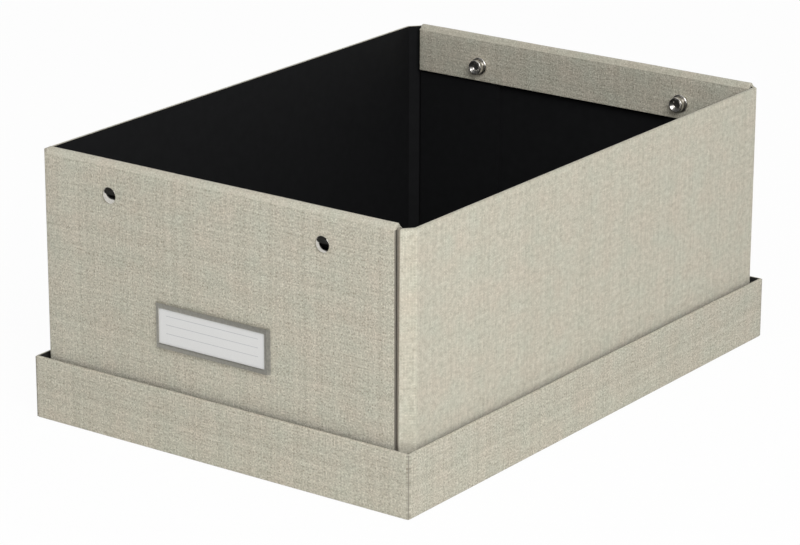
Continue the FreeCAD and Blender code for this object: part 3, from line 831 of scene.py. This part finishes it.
for endName, isTurned in ends:
    for profile, word, body, finish in ((rivetProfile(), "press_studs", "box", polishedStud),
                                        (socketProfile(), "snap_sockets", endName + "_flap", nickel),
                                        (eyeletProfile(), "snap_eyelets", endName + "_flap", nickel)):
        node = endName + "_" + word
        parts = [lathePart(*profile, x) for x in studXs]
        makePiece(node + "_turned", parts, body, finish, [node], isTurned)
print("fasteners done")


# Label holder and card
holder = dict(bevel=1.9, sheet=0.5, windowWidth=87.4, windowHeight=24.2, windowShift=(-0.2, -0.2),
              windowRound=0.8, edgeRound=0.22, lipGap=0.02, cornerSteps=4, runSteps=12, edgeSteps=3,
              faceSteps=3, sideSteps=5)
holderLow, holderHigh = cadBox("label_holder")
cardLow, cardHigh = cadBox("label_card")


def roundedRing(low, high, radius):
    # rectangle with rounded corners, turning left from its lower right one, in equal counts
    centre, span = (low + high) / 2, (high - low) / 2 - radius
    arc = np.linspace(0, quarterTurn, holder["cornerSteps"] + 1)
    share = np.linspace(0, 1, holder["runSteps"] + 1)[1:-1, None]
    ring = []
    for turn, sign in enumerate(cornerSigns):
        angles = (turn - 1) * quarterTurn + arc
        spokes = radius * np.stack([np.cos(angles), np.sin(angles)], 1)
        first, second = centre + span * sign, centre + span * cornerSigns[(turn + 1) % 4]
        ring += [first + spokes, spokes[-1] + first + (second - first) * share]
    return np.concatenate(ring)


def holderParts():
    # a bent plate with a window: rings between two rounded rectangles, sides back to the wall, a lip
    spec, thick, wall, proud = holder, holder["sheet"], endLow[1], holderLow[1]
    left, right = holderLow[0] + spec["bevel"], holderHigh[0] - spec["bevel"]
    low, high = holderLow[2], holderHigh[2]
    middle = (holderLow + holderHigh)[[0, 2]] / 2 + spec["windowShift"]
    half = np.array([spec["windowWidth"], spec["windowHeight"]]) / 2
    window = roundedRing(middle - half, middle + half, spec["windowRound"])
    plate = roundedRing(np.array([left, low]), np.array([right, high]), 0)

    def faceRows(rows, depth):
        x, z = rows[..., 0], rows[..., 1]
        return gridPart(pointsOf(x, proud + depth, z), x, z, closeColumns=True)

    # the plate: a quarter arc from its back at the window's edge on to its face, then to its border
    outward = (plate - window) / np.linalg.norm(plate - window, axis=1, keepdims=True)
    turn = np.linspace(0, quarterTurn, spec["edgeSteps"] + 1)
    share = np.linspace(0, 1, spec["faceSteps"] + 1)[1:]
    edge = window + outward * (spec["edgeRound"] * (1 - np.cos(turn)))[:, None, None]
    face = edge[-1] + (plate - edge[-1]) * share[:, None, None]
    depth = np.r_[thick, spec["edgeRound"] * (1 - np.sin(turn)), 0 * share][:, None]
    parts = [faceRows(np.concatenate([window[None], edge, face]), depth),
             faceRows(np.stack([window, plate]), thick)]
    # bent sides: from the plate's border back to the wall, and the plate's top and bottom edges
    for border, outer in ((left, holderLow[0]), (right, holderHigh[0])):
        inner = outer + math.copysign(thick, border - outer)
        outline = np.array([(border, proud), (outer, wall), (inner, wall), (border, proud + thick)])
        grid = pointsOf(outline[:, :1], outline[:, 1:], np.linspace(low, high, spec["sideSteps"] + 1))
        parts.append(gridPart(grid, grid[..., 2], grid[..., 1]))
        parts += [endFace(grid[:, column], (0, 1)) for column in (0, -1)]
    for z in (low, high):
        line = np.sort(plate[np.abs(plate[:, 1] - z) < tiny, 0])
        strip = pointsOf(line, np.array([[proud], [proud + thick]]), z)
        parts.append(gridPart(strip, strip[..., 0], strip[..., 1]))
    # the lower lip that the card stands on
    lip = np.array([(left, low), (right, low), (right, low + thick), (left, low + thick)])
    box = pointsOf(lip[:, :1], np.array([proud + spec["lipGap"], wall]), lip[:, 1:])
    parts.append(gridPart(box, box[..., 0], box[..., 1], closeRows=True))
    parts += [endFace(box[:, column], (0, 1)) for column in (0, -1)]
    return parts


makePiece("labelHolderFrame", holderParts(), "box", satinNickel, ["label_holder"])

# White card with a fine tooth and three pale ruled lines; a line's half width is a share of the step
cardFace = dict(dark=(0.70, 0.70, 0.69), pale=(0.76, 0.76, 0.75), grain=3.5, rough=0.62, specular=0.35,
                bumpStrength=0.2, bumpDepth=0.02, ink=(0.32, 0.33, 0.36), inkShare=0.55, firstStep=-7.6,
                lineStep=6.0, lineHalf=0.035, ruledHalfWidth=38.0, ruledMiddle=-0.6, ruledHalfHeight=8.6)


def cardMaterial():
    spec = cardFace
    material, tree = startMaterial("plainCard")
    vector = objectPlace(tree)
    x, _, z = parted(tree, vector)

    def within(value, middle, half):
        away = calc(tree, "ABSOLUTE", calc(tree, "SUBTRACT", value, middle))
        return calc(tree, "LESS_THAN", away, half)

    fine = noise(tree, vector, spec["grain"], detail=4.0, roughness=0.6)
    base = noiseRamp(tree, fine, spec["dark"], spec["pale"])
    middleX, _, middleZ = (cardLow + cardHigh) / 2
    rows = calc(tree, "DIVIDE", calc(tree, "SUBTRACT", z, middleZ + spec["firstStep"]), spec["lineStep"])
    onLine = within(calc(tree, "FRACT", rows), 0.5, spec["lineHalf"])
    wide = within(x, middleX, spec["ruledHalfWidth"])
    high = within(z, middleZ + spec["ruledMiddle"], spec["ruledHalfHeight"])
    share = calc(tree, "MULTIPLY", calc(tree, "MULTIPLY", onLine, wide), high)
    share = calc(tree, "MULTIPLY", share, spec["inkShare"])
    colour = mixColour(tree, share, base, (*spec["ink"], 1.0))
    return finishMaterial(material, tree, {
        "Base Color": colour, "Roughness": spec["rough"], "Specular IOR Level": spec["specular"]},
        fine, spec["bumpStrength"], spec["bumpDepth"])


def coat(node, material):
    node.data.materials.clear()
    node.data.materials.append(material)


coat(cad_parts["label_card"], cardMaterial())
print("label holder and card done")


# Finishes of the carried-over pieces
for name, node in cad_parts.items():
    if node.hide_render or name == "label_card":
        continue
    if name in ("lid_top_linen", "base_cover"):
        coat(node, flatLinen)
    else:
        coat(node, blackPaper if name.endswith("lining") else greyBoard)
print("carried-over pieces finished")


# Floor, light and camera: metres, watts and degrees, azimuth from the rear towards the right
floorSpec = dict(size=24.0, colour=(0.93, 0.93, 0.93), whiteShare=0.96, drop=0.0004,
                 tableSide=(0.66, -0.75, 0.0), tableEdge=(0.24, 0.29))


def seenDirectly(tree):
    # rays that show the surroundings themselves, and the mirrored ones among them
    rays = put(tree, "LightPath").outputs
    seen = calc(tree, "ADD", rays["Is Camera Ray"], rays["Is Glossy Ray"])
    return calc(tree, "ADD", seen, rays["Is Transmission Ray"], clamp=True), rays["Is Glossy Ray"]


def heading(azimuth, elevation):
    azimuth, elevation = math.radians(azimuth), math.radians(elevation)
    level = math.cos(elevation)
    return Vector((math.sin(azimuth) * level, math.cos(azimuth) * level, math.sin(elevation)))


def makeFloor():
    spec, half = floorSpec, floorSpec["size"] / 2
    corners = [(x * half, y * half, -spec["drop"]) for x, y in ((-1, -1), (1, -1), (1, 1), (-1, 1))]
    mesh = bpy.data.meshes.new("floor")
    mesh.from_pydata(corners, [], [(0, 1, 2, 3)])
    floor = bpy.data.objects.new("floor", mesh)
    bpy.context.scene.collection.objects.link(floor)
    material, tree = startMaterial("paleFloor")
    seen, mirrored = seenDirectly(tree)
    # reflections see the floor as far as the table's edge, and the dark room beyond it
    away = alongAxis(tree, put(tree, "TexCoord").outputs["Object"], spec["tableSide"])
    dark = calc(tree, "MULTIPLY", fade(tree, away, *spec["tableEdge"]), mirrored)
    share = calc(tree, "MULTIPLY", calc(tree, "SUBTRACT", seen, dark), spec["whiteShare"])
    colour = mixColour(tree, dark, (*spec["colour"], 1.0), (0.0, 0.0, 0.0, 1.0))
    matt = put(tree, "BsdfDiffuse", {"Color": colour})
    white = put(tree, "Emission", {"Color": (1.0, 1.0, 1.0, 1.0), "Strength": 1.0})
    mixed = put(tree, "MixShader", {0: share, 1: matt.outputs[0], 2: white.outputs[0]})
    put(tree, "OutputMaterial", {"Surface": mixed.outputs[0]})
    mesh.materials.append(material)


lamps = dict(world=0.44, ceiling=(0.15, 0.75), ceilingTone=0.34, roomSide=(-0.35, -0.94, 0.0),
             roomEdge=(0.3, 0.5), roomTone=0.035, overhead=(0.84, 0.92),
             key=dict(azimuth=130.0, elevation=34.0, distance=2.6, aimHeight=0.1, size=1.3, power=44.0))


def makeWorld():
    world = bpy.data.worlds.new("studio")
    world.use_nodes = True
    tree = world.node_tree
    tree.nodes.clear()
    seen, mirrored = seenDirectly(tree)
    # reflections find a white wall low round the object, a lit panel overhead in a dim ceiling, and
    # the dark room in front
    direction = put(tree, "TexCoord").outputs["Generated"]
    height = parted(tree, direction)[2]
    tone = fade(tree, height, *lamps["ceiling"], start=1.0, end=lamps["ceilingTone"])
    room = fade(tree, alongAxis(tree, direction, lamps["roomSide"]), *lamps["roomEdge"])
    tone = mixValue(tree, room, tone, lamps["roomTone"])
    tone = mixValue(tree, fade(tree, height, *lamps["overhead"]), tone, 1.0)
    strength = mixValue(tree, seen, lamps["world"], mixValue(tree, mirrored, 1.0, tone))
    back = put(tree, "Background", {"Color": (1.0, 1.0, 1.0, 1.0), "Strength": strength})
    put(tree, "OutputWorld", {"Surface": back.outputs[0]})
    bpy.context.scene.world = world


def makeKeyLight():
    spec = lamps["key"]
    light = bpy.data.lights.new("keySoftbox", "AREA")
    light.shape = "SQUARE"
    light.size = spec["size"]
    light.energy = spec["power"]
    lamp = bpy.data.objects.new("keySoftbox", light)
    bpy.context.scene.collection.objects.link(lamp)
    direction = heading(spec["azimuth"], spec["elevation"])
    lamp.location = direction * spec["distance"] + Vector((0, 0, spec["aimHeight"]))
    lamp.rotation_mode = "QUATERNION"
    lamp.rotation_quaternion = direction.to_track_quat("Z", "Y")


# Camera solved from the photo; focal length in pixels of the picture's width
view = dict(place=(1.3160, -1.8234, 0.8200), azimuth=-36.016, elevation=-18.324, roll=0.142, focal=3428.9,
            width=800, sensor=36.0, clip=(0.1, 60.0))


def makeCamera():
    camera = bpy.data.objects.new("photoCamera", bpy.data.cameras.new("photoCamera"))
    bpy.context.scene.collection.objects.link(camera)
    camera.data.sensor_width = view["sensor"]
    camera.data.lens = view["focal"] * view["sensor"] / view["width"]
    camera.data.clip_start, camera.data.clip_end = view["clip"]
    camera.location = view["place"]
    camera.rotation_mode = "QUATERNION"
    aim = heading(view["azimuth"], view["elevation"]).to_track_quat("-Z", "Y")
    camera.rotation_quaternion = aim @ Quaternion((0, 0, 1), math.radians(view["roll"]))
    bpy.context.scene.camera = camera


makeFloor()
makeWorld()
makeKeyLight()
makeCamera()
bpy.context.scene.view_settings.view_transform = "Standard"
print("floor, light and camera ready")
